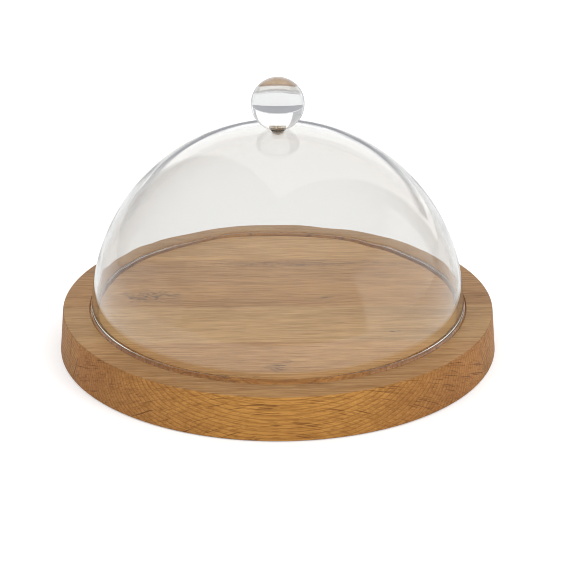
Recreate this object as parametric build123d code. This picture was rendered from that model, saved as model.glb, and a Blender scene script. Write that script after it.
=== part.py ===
"""Cheese dome: a clear glass bell with a glass ball knob, standing in the groove of a round oak board.

Millimetres, +Z up. The origin is the centre of the board's underside. X runs along the wood's grain.
"""

from build123d import *
import os
from math import cos, radians, sin, sqrt

# Board
BOARD_TOP_RADIUS = 149.6
BOARD_BASE_RADIUS = 152.4
BOARD_THICKNESS = 30.0
BOARD_EDGE_EASE = 0.8
GROOVE_INNER_RADIUS = 125.1
GROOVE_OUTER_RADIUS = 131.3
GROOVE_DEPTH = 4.0
GROOVE_LIP_EASE = 0.4
GROOVE_FLOOR_EASE = 0.8

# Staves: the glue lines run along X, turned a little, at these distances from the centre line
STAVE_TURN = 1.2
STAVE_REACH = BOARD_BASE_RADIUS + 8
STAVE_JOINTS = {
    "board_stave_front": (-STAVE_REACH, -66.5),
    "board_stave_middle_front": (-66.5, -8.5),
    "board_stave_middle_back": (-8.5, 77.0),
    "board_stave_back": (77.0, STAVE_REACH),
}

# Glass bell: a hemisphere whose centre lies inside the groove's depth, with a beaded foot
BELL_RADIUS = 129.6
BELL_WALL = 3.0
BELL_CENTRE_Z = 27.7
FOOT_GAP = 0.3
FOOT_Z = BOARD_THICKNESS - GROOVE_DEPTH + FOOT_GAP
BEAD_OUTER_RADIUS = 130.9
BEAD_INNER_RADIUS = 125.6
BEAD_WAIST_Z = 29.2
BEAD_TOP_Z = 33.4
CROWN_OUTER_FLAT_RADIUS = 8.0
CROWN_INNER_FLAT_RADIUS = 5.4
CROWN_HOLE_RADIUS = 3.5

# Ball knob with its threaded insert
BALL_RADIUS = 18.05
BALL_SEAT_RADIUS = 5.6
BALL_SEAT_EASE = 0.25
INSERT_RADIUS = 3.65
INSERT_LENGTH = 7.3
INSERT_POCKET_DEPTH = 7.6
INSERT_NECK_RADIUS = 3.3
INSERT_NECK_LENGTH = 0.5
KNURL_COUNT = 24
KNURL_DEPTH = 0.35
KNURL_WIDTH = 0.6

# Screw and washers, an M4 fixing
THREAD_RADIUS = 2.0
THREAD_CLEARANCE = 0.05
SCREW_LENGTH = 10.0
SCREW_HEAD_RADIUS = 3.8
SCREW_HEAD_HEIGHT = 1.7
SCREW_HEAD_RIM = 0.5
SCREW_DOME_SHARES = (0.7, 0.33)
SCREW_TIP_CHAMFER = 0.5
RECESS_SPAN = 3.8
RECESS_WIDTH = 0.8
RECESS_DEPTH = 1.2
STEEL_WASHER_RADIUS = 4.0
STEEL_WASHER_THICKNESS = 0.5
FIBRE_WASHER_RADIUS = 4.5
FIBRE_WASHER_THICKNESS = 0.5
WASHER_BORE_RADIUS = 2.15
WASHER_EASE = 0.12
BUSH_FLANGE_RADIUS = 5.3
BUSH_FLANGE_THICKNESS = 0.5
BUSH_SLEEVE_RADIUS = 3.4
BUSH_SLEEVE_GAP = 0.1

# Heights up the knob's axis, worked out from the pieces stacked there
CROWN_TOP_Z = BELL_CENTRE_Z + sqrt(BELL_RADIUS**2 - CROWN_OUTER_FLAT_RADIUS**2)
BELL_INNER_RADIUS = BELL_RADIUS - BELL_WALL
CROWN_UNDER_Z = BELL_CENTRE_Z + sqrt(BELL_INNER_RADIUS**2 - CROWN_INNER_FLAT_RADIUS**2)
BALL_SEAT_Z = CROWN_TOP_Z + BUSH_FLANGE_THICKNESS
BALL_CENTRE_Z = BALL_SEAT_Z + sqrt(BALL_RADIUS**2 - BALL_SEAT_RADIUS**2)
STEEL_WASHER_TOP_Z = CROWN_UNDER_Z - FIBRE_WASHER_THICKNESS
SCREW_SHOULDER_Z = STEEL_WASHER_TOP_Z - STEEL_WASHER_THICKNESS


def turned(*edges):
    """Close a half profile drawn in the XZ plane and turn it about the Z axis."""
    face = make_face(list(edges))
    return revolve(face, Axis.Z, 360)


def corner(x, z):
    """A point of a half profile: x is the radius, z the height."""
    return Vector(x, 0, z)


def eased(points, eases):
    """Straight-sided half profile with each corner cut back by its own length; 0 leaves it sharp."""
    sketch = make_face(Polyline(*points, close=True))
    for point, ease in zip(points, eases):
        if ease:
            nearest = min(sketch.vertices(), key=lambda vertex: (Vector(vertex) - point).length)
            sketch = chamfer(nearest, ease)
    return sketch


def board_blank():
    """The whole round of the board before it is divided into its staves."""
    top = BOARD_THICKNESS
    floor = BOARD_THICKNESS - GROOVE_DEPTH
    points = [
        corner(0, 0),
        corner(BOARD_BASE_RADIUS, 0),
        corner(BOARD_TOP_RADIUS, top),
        corner(GROOVE_OUTER_RADIUS, top),
        corner(GROOVE_OUTER_RADIUS, floor),
        corner(GROOVE_INNER_RADIUS, floor),
        corner(GROOVE_INNER_RADIUS, top),
        corner(0, top),
    ]
    edge, lip, hollow = BOARD_EDGE_EASE, GROOVE_LIP_EASE, GROOVE_FLOOR_EASE
    eases = [0, edge, edge, lip, hollow, hollow, lip, 0]
    return revolve(eased(points, eases), Axis.Z, 360)


def stave(blank, low, high):
    """One plank of the board: what lies between two glue lines."""
    from_low = (Align.CENTER, Align.MIN, Align.CENTER)
    slab = Box(2 * STAVE_REACH, high - low, 2 * BOARD_THICKNESS, align=from_low)
    return blank & Rot(0, 0, STAVE_TURN) * Pos(0, low, BOARD_THICKNESS / 2) * slab


def bell():
    """The glass bell: two concentric quarter arcs, a flat crown with a hole, and a bead at the foot."""
    centre = corner(0, BELL_CENTRE_Z)
    outer_crown = corner(CROWN_OUTER_FLAT_RADIUS, CROWN_TOP_Z)
    outer_low = corner(sqrt(BELL_RADIUS**2 - (BEAD_TOP_Z - BELL_CENTRE_Z) ** 2), BEAD_TOP_Z)
    inner_low = corner(sqrt(BELL_INNER_RADIUS**2 - (BEAD_TOP_Z - BELL_CENTRE_Z) ** 2), BEAD_TOP_Z)
    inner_crown = corner(CROWN_INNER_FLAT_RADIUS, CROWN_UNDER_Z)
    half = sqrt(0.5)
    outer_middle = centre + Vector(BELL_RADIUS * half, 0, BELL_RADIUS * half)
    inner_middle = centre + Vector(BELL_INNER_RADIUS * half, 0, BELL_INNER_RADIUS * half)
    bead_outside = corner(BEAD_OUTER_RADIUS, BEAD_WAIST_Z)
    bead_inside = corner(BEAD_INNER_RADIUS, BEAD_WAIST_Z)
    foot = corner((BEAD_OUTER_RADIUS + BEAD_INNER_RADIUS) / 2, FOOT_Z)
    down, up = Vector(0, 0, -1), Vector(0, 0, 1)
    down_outside = Vector(outer_low.Z - BELL_CENTRE_Z, 0, -outer_low.X).normalized()
    up_inside = Vector(BELL_CENTRE_Z - inner_low.Z, 0, inner_low.X).normalized()
    hole_top = corner(CROWN_HOLE_RADIUS, CROWN_TOP_Z)
    hole_under = corner(CROWN_HOLE_RADIUS, CROWN_UNDER_Z)
    return turned(
        Line(hole_top, outer_crown),
        ThreePointArc(outer_crown, outer_middle, outer_low),
        Spline(outer_low, bead_outside, tangents=[down_outside, down]),
        Spline(bead_outside, foot, bead_inside, tangents=[down, up]),
        Spline(bead_inside, inner_low, tangents=[up, up_inside]),
        ThreePointArc(inner_low, inner_middle, inner_crown),
        Line(inner_crown, hole_under),
        Line(hole_under, hole_top),
    )


def ball():
    """The ball knob: a sphere with a ground flat seat and a blind pocket for the insert."""
    sphere = Pos(0, 0, BALL_CENTRE_Z) * Sphere(BALL_RADIUS)
    room = 4 * BALL_RADIUS
    below = Box(room, room, room, align=(Align.CENTER, Align.CENTER, Align.MAX))
    body = sphere - Pos(0, 0, BALL_SEAT_Z) * below
    seat_edge = body.edges().sort_by(Axis.Z)[0]
    body = chamfer(seat_edge, BALL_SEAT_EASE)
    return body - standing(INSERT_RADIUS, BALL_SEAT_Z, INSERT_POCKET_DEPTH)


def standing(radius, base_z, height):
    """A cylinder on the Z axis standing on base_z."""
    return Pos(0, 0, base_z) * Cylinder(radius, height, align=(Align.CENTER, Align.CENTER, Align.MIN))


def insert():
    """The brass insert: knurled along its length, with a plain neck at the mouth and a through thread."""
    body = standing(INSERT_RADIUS, BALL_SEAT_Z, INSERT_LENGTH)
    neck = standing(INSERT_RADIUS, BALL_SEAT_Z, INSERT_NECK_LENGTH)
    body -= neck - standing(INSERT_NECK_RADIUS, BALL_SEAT_Z, INSERT_NECK_LENGTH)
    bottom_centre = (Align.CENTER, Align.CENTER, Align.MIN)
    cutter = Box(KNURL_WIDTH, KNURL_WIDTH, INSERT_LENGTH + 2, align=bottom_centre)
    reach = INSERT_RADIUS - KNURL_DEPTH + KNURL_WIDTH * sqrt(0.5)
    for step in range(KNURL_COUNT):
        angle = 360 / KNURL_COUNT * step
        x, y = reach * cos(radians(angle)), reach * sin(radians(angle))
        body -= Pos(x, y, BALL_SEAT_Z - 1) * Rot(0, 0, angle + 45) * cutter
    return body - standing(THREAD_RADIUS + THREAD_CLEARANCE, BALL_SEAT_Z, INSERT_LENGTH)


def washer(radius, base_z, thickness):
    """A flat washer with eased outer edges."""
    body = standing(radius, base_z, thickness)
    body = chamfer(body.edges(), WASHER_EASE)
    return body - standing(WASHER_BORE_RADIUS, base_z, thickness)


def bush():
    """The clear flanged bush: its flange lies between bell and ball, its sleeve lines the hole."""
    sleeve_low_z = CROWN_UNDER_Z + BUSH_SLEEVE_GAP
    flange = standing(BUSH_FLANGE_RADIUS, CROWN_TOP_Z, BUSH_FLANGE_THICKNESS)
    sleeve = standing(BUSH_SLEEVE_RADIUS, sleeve_low_z, CROWN_TOP_Z - sleeve_low_z)
    bore = standing(WASHER_BORE_RADIUS, sleeve_low_z, BALL_SEAT_Z - sleeve_low_z)
    return flange + sleeve - bore


def screw():
    """The fixing screw: a domed head with a cross recess, and a shank up into the insert."""
    head_rim_z = SCREW_SHOULDER_Z - SCREW_HEAD_RIM
    head_low_z = SCREW_SHOULDER_Z - SCREW_HEAD_HEIGHT
    out, rise = SCREW_DOME_SHARES
    head = turned(
        Line(corner(0, SCREW_SHOULDER_Z), corner(SCREW_HEAD_RADIUS, SCREW_SHOULDER_Z)),
        Line(corner(SCREW_HEAD_RADIUS, SCREW_SHOULDER_Z), corner(SCREW_HEAD_RADIUS, head_rim_z)),
        ThreePointArc(
            corner(SCREW_HEAD_RADIUS, head_rim_z),
            corner(SCREW_HEAD_RADIUS * out, head_low_z + SCREW_HEAD_HEIGHT * rise),
            corner(0, head_low_z),
        ),
        Line(corner(0, head_low_z), corner(0, SCREW_SHOULDER_Z)),
    )
    for angle in (0, 90):
        slot = Box(RECESS_SPAN, RECESS_WIDTH, 2 * RECESS_DEPTH)
        head -= Pos(0, 0, head_low_z) * Rot(0, 0, angle) * slot
    shank = standing(THREAD_RADIUS, SCREW_SHOULDER_Z, SCREW_LENGTH)
    shank = chamfer(shank.edges().sort_by(Axis.Z)[-1], SCREW_TIP_CHAMFER)
    return head + shank


def main():
    os.makedirs("parts", exist_ok=True)
    blank = board_blank()
    nodes = {name: stave(blank, low, high) for name, (low, high) in STAVE_JOINTS.items()}
    nodes["glass_bell"] = bell()
    nodes["ball_knob"] = ball()
    nodes["knob_insert"] = insert()
    nodes["knob_bush"] = bush()
    nodes["fibre_washer"] = washer(FIBRE_WASHER_RADIUS, STEEL_WASHER_TOP_Z, FIBRE_WASHER_THICKNESS)
    nodes["steel_washer"] = washer(STEEL_WASHER_RADIUS, SCREW_SHOULDER_Z, STEEL_WASHER_THICKNESS)
    nodes["knob_screw"] = screw()
    for name, shape in nodes.items():
        export_step(shape, f"parts/{name}.step")


main()
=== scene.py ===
"""Looks of the cheese dome: a clear glass bell with a ball knob on a round oak board. Metres, +Z up."""

from math import acos, asin, cos, degrees, pi, radians, sin, sqrt, tan

import bmesh
import bpy
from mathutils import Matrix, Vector, noise


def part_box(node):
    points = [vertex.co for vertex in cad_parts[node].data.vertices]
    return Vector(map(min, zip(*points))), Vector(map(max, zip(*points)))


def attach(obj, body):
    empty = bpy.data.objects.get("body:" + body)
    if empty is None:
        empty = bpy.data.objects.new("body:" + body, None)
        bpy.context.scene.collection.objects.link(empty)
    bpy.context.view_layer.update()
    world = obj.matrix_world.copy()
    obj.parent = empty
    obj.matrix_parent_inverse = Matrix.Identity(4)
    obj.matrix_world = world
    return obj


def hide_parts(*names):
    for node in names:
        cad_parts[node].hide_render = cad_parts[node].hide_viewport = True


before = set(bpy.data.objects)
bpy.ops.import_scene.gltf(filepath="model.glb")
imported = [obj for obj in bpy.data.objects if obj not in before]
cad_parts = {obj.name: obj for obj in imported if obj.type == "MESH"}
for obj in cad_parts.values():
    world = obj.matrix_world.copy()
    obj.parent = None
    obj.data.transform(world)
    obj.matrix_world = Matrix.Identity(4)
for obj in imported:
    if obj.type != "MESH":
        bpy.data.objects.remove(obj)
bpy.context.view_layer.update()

MM = 0.001

# ---------------------------------------------------------------- sizes, from the frame and the bell's wall

STAVES = ("board_stave_front", "board_stave_middle_front", "board_stave_middle_back", "board_stave_back")
BOARD_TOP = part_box("board_stave_front")[1].z
BASE_RADIUS = 152.4 * MM
TOP_RADIUS = 149.6 * MM
GRAIN_TURN = radians(1.2)
GROOVE_INNER = 125.1 * MM
GROOVE_OUTER = 131.3 * MM
GROOVE_DEPTH = 4.0 * MM

bell_low, bell_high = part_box("glass_bell")
BELL_RADIUS = 129.6 * MM
BELL_CENTRE = 27.7 * MM
BELL_WALL = 3.0 * MM
BEAD_OUTER = bell_high.x
BEAD_INNER = 125.6 * MM
BEAD_WAIST = 29.2 * MM
BEAD_TOP = 33.4 * MM
CROWN_TOP = bell_high.z
CROWN_FLAT = 8.0 * MM
CROWN_UNDER_FLAT = 5.4 * MM
CROWN_HOLE = 3.5 * MM
WAVE_INSIDE = 0.09 * MM
WAVE_OUTSIDE = 0.03 * MM

ball_low, ball_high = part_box("ball_knob")
BALL_RADIUS = ball_high.x
BALL_SEAT = ball_low.z
BALL_CENTRE = ball_high.z - BALL_RADIUS
insert_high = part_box("knob_insert")[1]

bush_low, bush_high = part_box("knob_bush")
BUSH_BORE = 2.15 * MM
BUSH_SLEEVE = 3.4 * MM
AIR = 0.03 * MM  # the gap that keeps faces of two clear pieces from lying in each other
KNURL_DEPTH = 0.35 * MM

CAMERA_PLACE = (0.0022, -1.2317, 0.5735)
CAMERA_DOWN = 23.206  # degrees below the level
CAMERA_LENS = 123.15  # millimetres, on a 36 mm sensor
STRIP_BACK = 0.19
STRIP_HALF_WIDTH = 0.30
STRIP_ANGLES = (15.3, 6.0)  # its low and high edge, in degrees below the level seen from the ball's centre
FLOOR_LIFT = 0.26
WHITE_WALL = (1.35, 1.35, 1.35)


# ---------------------------------------------------------------- mesh helpers


def new_object(name, mesh):
    thing = bpy.data.objects.new(name, mesh)
    bpy.context.scene.collection.objects.link(thing)
    return thing


def arc(centre, radius, start, end, steps):
    """Points (r, z) of an arc about (r, z) centre, from start to end in degrees, both ends included."""
    turns = [radians(start + (end - start) * i / steps) for i in range(steps + 1)]
    return [(centre[0] + radius * cos(a), centre[1] + radius * sin(a)) for a in turns]


def lathe(name, profile, segments, closed=True):
    """Turns a half profile of (r, z) points about Z. A point on the axis becomes one vertex."""
    shape = bmesh.new()
    rings = []
    for r, z in profile:
        if r < 1e-7:
            rings.append([shape.verts.new((0, 0, z))])
            continue
        turns = [2 * pi * i / segments for i in range(segments)]
        rings.append([shape.verts.new((r * cos(a), r * sin(a), z)) for a in turns])
    pairs = list(zip(rings, rings[1:])) + ([(rings[-1], rings[0])] if closed else [])
    for low, high in pairs:
        for i in range(segments):
            j = (i + 1) % segments
            corners = [low[i % len(low)], low[j % len(low)], high[j % len(high)], high[i % len(high)]]
            corners = [c for k, c in enumerate(corners) if c not in corners[:k]]
            if len(corners) > 2:
                shape.faces.new(corners)
    bmesh.ops.recalc_face_normals(shape, faces=shape.faces)
    mesh = bpy.data.meshes.new(name)
    shape.to_mesh(mesh)
    shape.free()
    return new_object(name, mesh)


def smooth_by_angle(thing, limit):
    """Smooth shading, with edges sharper than limit, in degrees, kept crisp."""
    thing.data.shade_smooth()
    thing.data.set_sharp_from_angle(angle=radians(limit))


def rounded(points, radii, steps=4):
    """Replaces each corner of an open outline of (r, z) points by an arc of its own radius."""
    out = []
    for i, (point, radius) in enumerate(zip(points, radii)):
        here = Vector(point)
        if not radius:
            out.append(tuple(here))
            continue
        before = (Vector(points[i - 1]) - here).normalized()
        after = (Vector(points[i + 1]) - here).normalized()
        half = before.angle(after) / 2
        reach = radius / sin(half) * cos(half)
        centre = here + (before + after).normalized() * radius / sin(half)
        start, end = here + before * reach - centre, here + after * reach - centre
        for k in range(steps + 1):
            out.append(tuple(centre + start.slerp(end, k / steps).normalized() * radius))
    return out


# ---------------------------------------------------------------- shader helpers


class Shader:
    """Adds nodes to a material or a world. Any input takes a number, a tuple or another node's output."""

    def __init__(self, owner, output_kind="ShaderNodeOutputMaterial"):
        self.owner = owner
        self.owner.use_nodes = True
        self.tree = self.owner.node_tree
        self.tree.nodes.clear()
        self.output = self.tree.nodes.new(output_kind)

    def feed(self, socket, value):
        if isinstance(value, bpy.types.NodeSocket):
            self.tree.links.new(value, socket)
        elif socket.type == "RGBA" and len(value) == 3:
            socket.default_value = (*value, 1.0)
        else:
            socket.default_value = value

    def add(self, kind, inputs=(), **settings):
        node = self.tree.nodes.new(kind)
        for key, value in settings.items():
            setattr(node, key, value)
        for key, value in dict(inputs).items():
            self.feed(node.inputs[key], value)
        return node

    def math(self, operation, *values):
        return self.add("ShaderNodeMath", enumerate(values), operation=operation).outputs[0]

    def vector(self, operation, *values):
        return self.add("ShaderNodeVectorMath", enumerate(values), operation=operation).outputs[0]

    def join(self, x, y, z):
        return self.add("ShaderNodeCombineXYZ", {"X": x, "Y": y, "Z": z}).outputs[0]

    def split(self, vector):
        return self.add("ShaderNodeSeparateXYZ", {"Vector": vector}).outputs

    def noise(self, vector, detail=2.0, roughness=0.5):
        """Noise from 0 to 1, about 0.5, with one grain to each unit of the vector."""
        inputs = {"Vector": vector, "Scale": 1.0, "Detail": detail, "Roughness": roughness}
        return self.add("ShaderNodeTexNoise", inputs).outputs["Fac"]

    def ease(self, value, low, high, start=0.0, end=1.0):
        """Goes smoothly from start to end as value goes from low to high."""
        inputs = {"Value": value, "From Min": low, "From Max": high, "To Min": start, "To Max": end}
        return self.add("ShaderNodeMapRange", inputs, interpolation_type="SMOOTHSTEP").outputs[0]

    def blend(self, share, first, second, mode="MIX"):
        node = self.add("ShaderNodeMix", data_type="RGBA", blend_type=mode)
        self.feed(node.inputs["Factor"], share)
        colours = [s for s in node.inputs if s.type == "RGBA"]
        self.feed(colours[0], first)
        self.feed(colours[1], second)
        return [s for s in node.outputs if s.type == "RGBA"][0]

    def finish(self, surface):
        self.tree.links.new(surface, self.output.inputs["Surface"])
        return self.owner


def new_shader(name):
    return Shader(bpy.data.materials.new(name))


def paint(thing, material):
    thing.data.materials.clear()
    thing.data.materials.append(material)


# ---------------------------------------------------------------- oak

# Tints that multiply the wood: round the edge, on end grain, outside the groove and in it. Each holds painted
# light or shade, as said above it
# the edge's oil colour, more orange than the top, and painted light: the side faces made lighter for the
# front light they get
EDGE_OIL_AND_PAINTED_LIGHT = (1.46, 1.31, 0.79)
# the end grain's own darker tone, and painted shade: the ends at the left and right made darker and cooler,
# as they lie in more shade than the front
END_GRAIN_AND_PAINTED_SHADE = (0.72, 0.67, 0.84)
# painted shade: the margin outside the bell darkened, so that the wood under the bell reads lighter, as the
# bell's reflected haze makes it
MARGIN_PAINTED_SHADE = (0.735, 0.705, 0.65)
# painted bounce light: the wood deep in the groove made warmer and more orange, as light reflected between
# its shaded walls colours it
GROOVE_PAINTED_BOUNCE_LIGHT = (1.15, 0.98, 0.70)

# Per stave, in millimetres: pith line (y, z), ring width, offset of its noise, lightest and darkest wood and
# knots. A knot is (x, y, length along the grain, width across it, darkness) on the top face.
OAK = {
    "board_stave_front": dict(
        pith=(-178.0, 60.0), ring=2.3, seed=11.0, light=(0.51, 0.285, 0.110), dark=(0.33, 0.163, 0.052),
        knots=[(-3.0, -106.0, 7.0, 6.0, 1.1), (4.0, -97.0, 4.0, 2.5, 0.9), (-30.0, -119.0, 22.0, 3.0, 0.6)],
    ),
    "board_stave_middle_front": dict(
        pith=(-30.0, -95.0), ring=3.1, seed=37.0, light=(0.51, 0.303, 0.123), dark=(0.335, 0.186, 0.066),
        knots=[(79.0, -52.0, 4.0, 2.0, 1.6)],
    ),
    "board_stave_middle_back": dict(
        pith=(20.0, 150.0), ring=3.6, seed=59.0, light=(0.440, 0.235, 0.079), dark=(0.275, 0.133, 0.040),
        knots=[(-90.0, 10.0, 26.0, 11.0, 0.85), (35.0, 6.0, 4.0, 2.0, 1.2), (15.0, 68.0, 80.0, 6.0, 0.6)],
    ),
    "board_stave_back": dict(
        pith=(140.0, -60.0), ring=2.8, seed=83.0, light=(0.50, 0.280, 0.098), dark=(0.335, 0.177, 0.054),
        knots=[],
    ),
}


def oak(name, pith, ring, seed, light, dark, knots):
    """Solid oak: growth rings about a pith line along X, with rays and fibres that agree on all faces."""
    s = new_shader(name)
    place = s.add("ShaderNodeTexCoord").outputs["Object"]
    face = s.split(s.add("ShaderNodeTexCoord").outputs["Normal"])
    scaled = s.vector("MULTIPLY", place, (1000, 1000, 1000))
    turned = s.add("ShaderNodeVectorRotate", {"Vector": scaled, "Angle": -GRAIN_TURN}, rotation_type="Z_AXIS")
    x, y, z = s.split(turned.outputs[0])

    def grains(along, across, detail=2.0, shift=0.0, roughness=0.5):
        """Noise about 0, stretched along the fibres, with lengths in millimetres."""
        parts = [s.math("DIVIDE", x, along), s.math("DIVIDE", y, across), s.math("DIVIDE", z, across)]
        level = s.noise(s.vector("ADD", s.join(*parts), (seed + shift, seed, shift)), detail, roughness)
        return s.math("SUBTRACT", level, 0.5)

    def total(*terms):
        """Sum of (share, value) pairs."""
        out = 0.0
        for share, value in terms:
            out = s.math("ADD", out, s.math("MULTIPLY", share, value))
        return out

    # knots push the rings aside and leave dark flecks
    push, stain = 0.0, 0.0
    flecks = s.ease(grains(3.0, 1.8, 2.0, 31.0), -0.05, 0.09, 0.15, 1.0)
    for kx, ky, length, width, darkness in knots:
        dx = s.math("DIVIDE", s.math("SUBTRACT", x, kx), length)
        dy = s.math("DIVIDE", s.math("SUBTRACT", y, ky), width)
        away = s.math("SQRT", s.math("ADD", s.math("MULTIPLY", dx, dx), s.math("MULTIPLY", dy, dy)))
        reach = total((1.0, away), (2.2, grains(7.0, 2.0, 3.0, kx)))
        push = total((1.0, push), (width * 0.6, s.ease(away, 2.4, 0.2)))
        stain = total((1.0, stain), (darkness, s.math("MULTIPLY", flecks, s.ease(reach, 1.3, 0.2))))

    # growth rings
    across, up = s.math("SUBTRACT", y, pith[0]), s.math("SUBTRACT", z, pith[1])
    radius = s.math("SQRT", s.math("ADD", s.math("MULTIPLY", across, across), s.math("MULTIPLY", up, up)))
    angle = s.math("ARCTAN2", up, across)
    slow, quick = grains(260.0, 40.0, 2.0, 3.0), grains(70.0, 6.0, 2.0, 7.0)
    wandering = total((1.0, radius), (1.0, push), (10.0, slow), (0.6, quick))
    phase = s.math("FRACT", s.math("DIVIDE", wandering, ring))
    early = s.math("MULTIPLY", s.ease(phase, 0.0, 0.08), s.ease(phase, 0.50, 0.18))
    late = s.math("MULTIPLY", s.ease(phase, 0.35, 0.90), s.ease(phase, 1.0, 0.95))

    # vessels lie in the early wood, rays run out from the pith
    pores = s.ease(grains(22.0, 0.7, 1.0, 13.0), 0.02, 0.13)
    vessel = s.math("MULTIPLY", pores, total((0.75, early), (0.25, 1.0)))

    def rays(along, out, turn, low, high):
        """Streaks of stated length along the fibres and out from the pith, and turn of them to a radian."""
        parts = [s.math("DIVIDE", x, along), s.math("DIVIDE", radius, out), s.math("MULTIPLY", angle, turn)]
        spot = s.join(*parts)
        return s.ease(s.noise(s.vector("ADD", spot, (seed, 0, 0)), 1.0), low, high)

    ray, long_ray = rays(7.0, 10.0, 95.0, 0.57, 0.68), rays(24.0, 34.0, 95.0, 0.64, 0.70)

    # which way the face looks: end grain at the sides, and the edge all round, oil coloured and painted
    # lighter for the front light
    end = s.ease(s.math("ABSOLUTE", face[0]), 0.20, 0.85)
    edge = s.ease(s.math("ABSOLUTE", face[2]), 0.75, 0.30)

    # colour from broad to fine
    streak, fibre = grains(120.0, 4.2, 3.0, 17.0), grains(30.0, 1.5, 3.0, 19.0, 0.68)
    hatch = grains(10.0, 1.0, 2.0, 29.0, 0.6)
    hatched = total((1.0, 0.9), (-0.2, edge), (-0.1, end))
    fibrous = total((1.0, 2.5), (-1.2, edge))
    share = total(
        (1.0, 0.42), (1.0, streak), (fibrous, fibre), (1.1, grains(130.0, 45.0, 1.0, 23.0)), (0.16, late),
        (hatched, hatch),
    )
    colour = s.blend(s.ease(share, 0.0, 1.0), light, dark)
    lines = s.math("MULTIPLY", early, total((0.10, 1.0), (0.34, edge), (-0.04, end)))
    colour = s.blend(lines, colour, (0.17, 0.07, 0.02))
    vessels = s.math("MULTIPLY", vessel, total((0.42, 1.0), (-0.18, edge), (-0.04, end)))
    short_rays = s.math("MULTIPLY", ray, total((0.08, 1.0), (0.34, edge)))
    long_rays = s.math("MULTIPLY", long_ray, total((0.12, 1.0), (0.62, edge)))
    colour = s.blend(vessels, colour, (0.15, 0.07, 0.025))
    colour = s.blend(short_rays, colour, (0.18, 0.075, 0.02))
    colour = s.blend(long_rays, colour, (0.12, 0.045, 0.012))
    colour = s.blend(s.math("MINIMUM", stain, 0.9), colour, (0.105, 0.050, 0.022))

    # the edge is oil coloured, its end grain most, with painted light on the side faces and painted shade on
    # the ends; the margin outside the groove is painted darker, standing in for the haze the bell adds over
    # the wood inside it; the groove gets painted warm bounce light
    from_axis = s.math("SQRT", s.math("ADD", s.math("MULTIPLY", x, x), s.math("MULTIPLY", y, y)))
    margin = s.ease(from_axis, GROOVE_INNER / MM, GROOVE_OUTER / MM)
    below_top = s.ease(z, BOARD_TOP / MM - 0.3, BOARD_TOP / MM - 1.0)
    in_groove = s.math("MULTIPLY", below_top, s.math("SUBTRACT", 1.0, edge))
    for amount, tint in ((edge, EDGE_OIL_AND_PAINTED_LIGHT), (end, END_GRAIN_AND_PAINTED_SHADE), (margin, MARGIN_PAINTED_SHADE), (in_groove, GROOVE_PAINTED_BOUNCE_LIGHT)):
        colour = s.blend(amount, colour, tint, "MULTIPLY")

    rough = total((0.45, 1.0), (0.35, fibre), (0.12, end), (0.15, vessel))
    height = total((0.8, fibre), (0.5, hatch), (-0.8, vessel), (0.2, late))
    bump = s.add("ShaderNodeBump", {"Height": height, "Strength": 0.4, "Distance": 0.0001})
    surface = s.add(
        "ShaderNodeBsdfPrincipled",
        {"Base Color": colour, "Roughness": rough, "Normal": bump.outputs[0], "Specular IOR Level": 0.25},
    )
    return s.finish(surface.outputs[0])


def board_profile():
    """Half profile of the board from the axis, round the outside and back over the groove."""
    floor = BOARD_TOP - GROOVE_DEPTH
    points = [
        (0, 0), (BASE_RADIUS, 0), (TOP_RADIUS, BOARD_TOP),
        (GROOVE_OUTER, BOARD_TOP), (GROOVE_OUTER, floor), (GROOVE_INNER, floor), (GROOVE_INNER, BOARD_TOP),
        (0, BOARD_TOP),
    ]
    edge, lip, hollow = 0.9 * MM, 0.45 * MM, 0.9 * MM
    return rounded(points, [0, edge, edge, lip, hollow, hollow, lip, 0])


def cut(shape, point, direction):
    """Cuts away what lies on the side that direction points to, and closes the cut."""
    everything = shape.verts[:] + shape.edges[:] + shape.faces[:]
    bmesh.ops.bisect_plane(shape, geom=everything, plane_co=point, plane_no=direction, clear_outer=True)
    rim = [e for e in shape.edges if e.is_boundary]
    bmesh.ops.triangle_fill(shape, edges=rim, use_beauty=True)


def make_board():
    """Each stave is the turned round between its two glue lines, read from the frame."""
    across = Vector((-sin(GRAIN_TURN), cos(GRAIN_TURN), 0))
    blank = lathe("board_blank", board_profile(), 360)
    nodes = [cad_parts[name] for name in STAVES]
    spans = []
    for node in nodes:
        reach = [v.co.dot(across) for v in node.data.vertices]
        spans.append((min(reach), max(reach)))
    for name, (low, high) in zip(STAVES, spans):
        shape = bmesh.new()
        shape.from_mesh(blank.data)
        if name != STAVES[0]:
            cut(shape, across * low, -across)
        if name != STAVES[-1]:
            cut(shape, across * high, across)
        bmesh.ops.recalc_face_normals(shape, faces=shape.faces)
        mesh = bpy.data.meshes.new(name)
        shape.to_mesh(mesh)
        shape.free()
        piece = new_object("oak_" + name, mesh)
        smooth_by_angle(piece, 30)
        paint(piece, oak("oak_" + name, **OAK[name]))
        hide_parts(name)
        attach(piece, "board")
    bpy.data.objects.remove(blank)


# ---------------------------------------------------------------- glass


def clear_glass(name, tint, ior, rim=None):
    """Smooth clear glass, darkened towards rim where seen edge on: painted shade for the dark surroundings
    the glass bends in at its outline. Lamp and diffuse rays pass straight through.
    """
    s = new_shader(name)
    if rim:
        facing = s.add("ShaderNodeLayerWeight", {"Blend": 0.5}).outputs["Facing"]
        tint = s.blend(s.ease(facing, 0.66, 0.90), tint, rim)
    glass = s.add("ShaderNodeBsdfGlass", {"Color": tint, "Roughness": 0.0, "IOR": ior})
    through = s.add("ShaderNodeBsdfTransparent", {"Color": (0.97, 0.97, 0.965)})
    path = s.add("ShaderNodeLightPath").outputs
    straight = s.math("MAXIMUM", path["Is Shadow Ray"], path["Is Diffuse Ray"])
    mix = s.add("ShaderNodeMixShader", {0: straight, 1: glass.outputs[0], 2: through.outputs[0]})
    return s.finish(mix.outputs[0])


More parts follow.
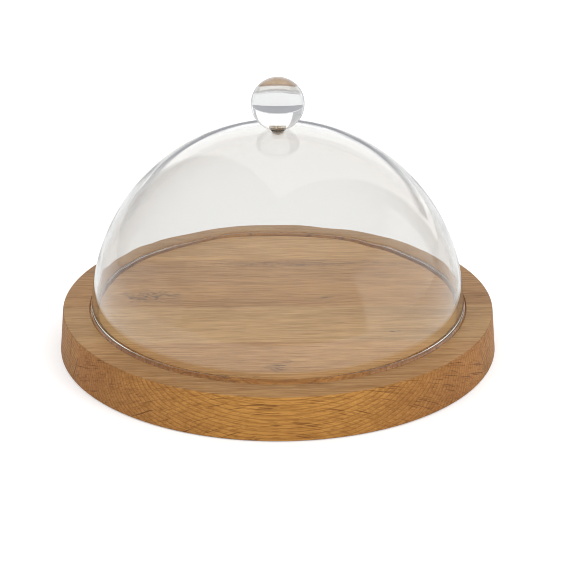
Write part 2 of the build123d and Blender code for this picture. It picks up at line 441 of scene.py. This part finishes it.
def bell_profile():
    """Half profile of the bell: outer arc, bead, inner arc, then the hole in the crown."""
    centre = (0.0, BELL_CENTRE)
    inner = BELL_RADIUS - BELL_WALL
    lowest = (BEAD_TOP - BELL_CENTRE) / BELL_RADIUS
    outside = arc(centre, BELL_RADIUS, degrees(acos(CROWN_FLAT / BELL_RADIUS)), degrees(asin(lowest)), 120)
    inside = arc(centre, inner, degrees(asin(lowest)), degrees(acos(CROWN_UNDER_FLAT / inner)), 120)

    def swell(start, end, steps=10):
        """Eases from one (r, z) to another, with both ends upright."""
        shares = [i / steps for i in range(1, steps)]
        eased = [(t * t * (3 - 2 * t), t) for t in shares]
        return [(start[0] + (end[0] - start[0]) * e, start[1] + (end[1] - start[1]) * t) for e, t in eased]

    middle, half, drop = (BEAD_OUTER + BEAD_INNER) / 2, (BEAD_OUTER - BEAD_INNER) / 2, BEAD_WAIST - bell_low.z
    turns = [pi * i / 20 for i in range(21)]
    toe = [(middle + half * cos(a), BEAD_WAIST - drop * sin(a)) for a in turns]
    lip, under = 0.25 * MM, inside[-1][1]
    hole = CROWN_HOLE
    ring = [(hole + lip, under), (hole, under + lip), (hole, CROWN_TOP - lip), (hole + lip, CROWN_TOP)]
    return outside + swell(outside[-1], toe[0]) + toe + swell(toe[-1], inside[0]) + inside + ring


def make_bell():
    """The bell with the faint waves of blown glass, mostly in its inner face."""
    bell = lathe("bell", bell_profile(), 320)
    centre = Vector((0, 0, BELL_CENTRE))
    for vertex in bell.data.vertices:
        out = vertex.co - centre
        inside = out.length < BELL_RADIUS - BELL_WALL / 2
        away = min(1.0, max(0.0, (Vector((out.x, out.y)).length - 15 * MM) / (20 * MM)))
        above = min(1.0, max(0.0, (vertex.co.z - BEAD_TOP) / (8 * MM)))
        depth = WAVE_INSIDE if inside else WAVE_OUTSIDE
        spot = Vector((out.x / (24 * MM), out.y / (24 * MM), out.z / (13 * MM)))
        wave = noise.noise(spot + Vector((4.1, 0.7, 9.3))) * depth * away * above
        vertex.co += out.normalized() * wave
    smooth_by_angle(bell, 40)
    paint(bell, clear_glass("bell_glass", (0.966, 0.968, 0.964), 1.5))
    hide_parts("glass_bell")
    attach(bell, "dome")


def make_ball():
    """The solid ball. Clear glue fills round the insert, so the glass reaches just inside the metal skin."""
    seat_radius = sqrt(BALL_RADIUS**2 - (BALL_CENTRE - BALL_SEAT) ** 2)
    low = -degrees(asin((BALL_CENTRE - BALL_SEAT) / BALL_RADIUS))
    pocket, ease, roof = insert_high.x - KNURL_DEPTH - AIR, 0.15 * MM, insert_high.z - AIR
    sphere = arc((0.0, BALL_CENTRE), BALL_RADIUS, 90, low + 0.6, 128)
    sphere[0] = (0.0, sphere[0][1])
    base = [(seat_radius - ease, BALL_SEAT + AIR), (pocket, BALL_SEAT + AIR)]
    drill = [(pocket, roof), (0.0, roof)]
    ball = lathe("knob_ball", sphere + base + drill, 192, closed=False)
    smooth_by_angle(ball, 30)
    # the rim tint paints the ball's outline darker, as painted shade
    glass = clear_glass("knob_glass", (0.955, 0.958, 0.957), 1.5, rim=(0.74, 0.75, 0.76))
    paint(ball, glass)
    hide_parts("ball_knob")
    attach(ball, "dome")


def make_bush():
    """The clear flanged bush, a hair smaller than its seats all round."""
    bore, sleeve, flange = BUSH_BORE, BUSH_SLEEVE, bush_high.x
    low, high, shelf = bush_low.z, bush_high.z - AIR, CROWN_TOP + AIR
    points = [(bore, low), (sleeve, low), (sleeve, shelf), (flange, shelf), (flange, high), (bore, high)]
    bush = lathe("clear_bush", points, 128)
    smooth_by_angle(bush, 30)
    paint(bush, clear_glass("bush_plastic", (0.93, 0.93, 0.92), 1.46))
    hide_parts("knob_bush")
    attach(bush, "dome")


# ---------------------------------------------------------------- metal and fibre


def metal(name, colour, dull, roughness, seed):
    """Plated or turned metal, clouded and finely scratched."""
    s = new_shader(name)
    place = s.add("ShaderNodeTexCoord").outputs["Object"]
    cloud = s.noise(s.vector("ADD", s.vector("MULTIPLY", place, (900, 900, 900)), (seed, 0, 0)), 3.0)
    grit = s.noise(s.vector("ADD", s.vector("MULTIPLY", place, (2500, 2500, 9000)), (0, seed, 0)), 2.0)
    tint = s.blend(s.ease(cloud, 0.35, 0.75), colour, dull)
    rough = s.math("ADD", s.math("MULTIPLY", grit, 0.14), roughness)
    bump = s.add("ShaderNodeBump", {"Height": grit, "Strength": 0.25, "Distance": 0.00002})
    inputs = {"Base Color": tint, "Metallic": 1.0, "Roughness": rough, "Normal": bump.outputs[0]}
    return s.finish(s.add("ShaderNodeBsdfPrincipled", inputs).outputs[0])


def fibre_card():
    """Pressed grey-brown fibre with fine flecks."""
    s = new_shader("fibre_card")
    place = s.add("ShaderNodeTexCoord").outputs["Object"]
    fleck = s.noise(s.vector("MULTIPLY", place, (3500, 3500, 3500)), 3.0)
    tint = s.blend(s.ease(fleck, 0.35, 0.7), (0.20, 0.14, 0.11), (0.33, 0.25, 0.20))
    bump = s.add("ShaderNodeBump", {"Height": fleck, "Strength": 0.4, "Distance": 0.00003})
    inputs = {"Base Color": tint, "Roughness": 0.8, "Normal": bump.outputs[0]}
    return s.finish(s.add("ShaderNodeBsdfPrincipled", inputs).outputs[0])


def finish_small_parts():
    """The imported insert, washers and screw keep their shapes and get their metals."""
    looks = {
        "knob_insert": metal("turned_brass", (0.92, 0.85, 0.74), (0.68, 0.59, 0.49), 0.26, 3.0),
        "steel_washer": metal("washer_steel", (0.62, 0.62, 0.63), (0.42, 0.42, 0.43), 0.24, 7.0),
        "knob_screw": metal("screw_steel", (0.66, 0.65, 0.63), (0.44, 0.43, 0.42), 0.16, 13.0),
        "fibre_washer": fibre_card(),
    }
    for node, material in looks.items():
        paint(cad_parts[node], material)


# ---------------------------------------------------------------- studio


def make_camera():
    data = bpy.data.cameras.new("camera")
    data.sensor_width = 36.0
    data.lens = CAMERA_LENS
    camera = new_object("camera", data)
    camera.location = CAMERA_PLACE
    camera.rotation_euler = (radians(90 - CAMERA_DOWN), 0, 0)
    bpy.context.scene.camera = camera


def make_floor():
    """A wide white table top, lifted a little for the camera so that only the contact shadow stays."""
    half = 4.0
    mesh = bpy.data.meshes.new("floor")
    corners = [(-half, -half, 0), (half, -half, 0), (half, half, 0), (-half, half, 0)]
    mesh.from_pydata(corners, [], [(0, 1, 2, 3)])
    floor = new_object("floor", mesh)
    s = new_shader("floor")
    place = s.add("ShaderNodeTexCoord").outputs["Object"]
    fine = s.noise(s.vector("MULTIPLY", place, (60, 60, 60)), 3.0)
    tint = s.blend(fine, (0.82, 0.82, 0.82), (0.84, 0.84, 0.84))
    matte = s.add("ShaderNodeBsdfDiffuse", {"Color": tint})
    seen = s.add("ShaderNodeLightPath").outputs["Is Camera Ray"]
    lift = s.add("ShaderNodeEmission", {"Strength": s.math("MULTIPLY", seen, FLOOR_LIFT)})
    paint(floor, s.finish(s.add("ShaderNodeAddShader", {0: matte.outputs[0], 1: lift.outputs[0]}).outputs[0]))
    floor.location.z = -0.0004


def make_strip():
    """A low grey strip standing behind, out of the camera's sight, that the ball knob picks up."""
    back, half = STRIP_BACK, STRIP_HALF_WIDTH
    low, high = [BALL_CENTRE - back * tan(radians(angle)) for angle in STRIP_ANGLES]
    mesh = bpy.data.meshes.new("low_strip")
    corners = [(-half, back, low), (half, back, low), (half, back, high), (-half, back, high)]
    mesh.from_pydata(corners, [], [(0, 1, 2, 3)])
    strip = new_object("low_strip", mesh)
    s = new_shader("low_strip")
    glow = s.add("ShaderNodeEmission", {"Color": (0.43, 0.435, 0.465), "Strength": 1.0})
    paint(strip, s.finish(glow.outputs[0]))
    strip.visible_camera = False
    strip.visible_diffuse = False
    strip.visible_shadow = False


def make_world():
    """A grey room: bright wall behind, pale side walls and ceiling. The camera itself sees only white."""
    world = bpy.data.worlds.new("studio")
    bpy.context.scene.world = world
    s = Shader(world, "ShaderNodeOutputWorld")
    x, y, z = s.split(s.add("ShaderNodeTexCoord").outputs["Generated"])
    azimuth = s.math("ARCTAN2", x, y)

    def wall(turn, start, end, height_low, height_high):
        """1 between start and end, in degrees, fading in as z goes from height_low to height_high."""
        soft = radians(2)
        inside = s.math(
            "MULTIPLY", s.ease(turn, radians(start) - soft, radians(start) + soft),
            s.ease(turn, radians(end) + soft, radians(end) - soft),
        )
        return s.math("MULTIPLY", inside, s.ease(z, height_low, height_high))

    behind = wall(azimuth, -25, 45, -0.19, -0.16)
    right_side = wall(azimuth, 58, 125, 0.60, 0.45)
    left_side = wall(s.math("MULTIPLY", azimuth, -1.0), 58, 119, 0.34, 0.26)
    colour = s.blend(s.ease(z, 0.1, 0.9), (0.56, 0.56, 0.57), (0.95, 0.95, 0.95))
    colour = s.blend(right_side, colour, (1.2, 1.2, 1.2))
    colour = s.blend(left_side, colour, (0.78, 0.78, 0.78))
    colour = s.blend(behind, colour, WHITE_WALL)
    seen = s.add("ShaderNodeLightPath").outputs["Is Camera Ray"]
    colour = s.blend(seen, colour, WHITE_WALL)
    background = s.add("ShaderNodeBackground", {"Color": colour, "Strength": 1.0})
    s.finish(background.outputs[0])


def make_lamp(name, place, aim, width, height, power):
    """A large soft box that lights the table but does not mirror in the glass."""
    data = bpy.data.lights.new(name, "AREA")
    data.shape = "RECTANGLE"
    data.size, data.size_y, data.energy = width, height, power
    lamp = new_object(name, data)
    lamp.location = place
    lamp.rotation_euler = (Vector(aim) - Vector(place)).to_track_quat("-Z", "Y").to_euler()
    lamp.visible_glossy = False
    lamp.visible_transmission = False


def make_studio():
    make_floor()
    make_world()
    make_strip()
    make_lamp("box_left", (-1.5, -0.9, 1.5), (0, 0, 0.05), 0.9, 0.9, 9.5)
    make_lamp("box_right", (1.4, -1.1, 1.4), (0, 0, 0.05), 0.9, 0.9, 13.5)
    bpy.context.scene.view_settings.view_transform = "Standard"
    bpy.context.scene.cycles.filter_width = 1.0


make_camera()
make_board()
make_bell()
make_ball()
make_bush()
finish_small_parts()
make_studio()
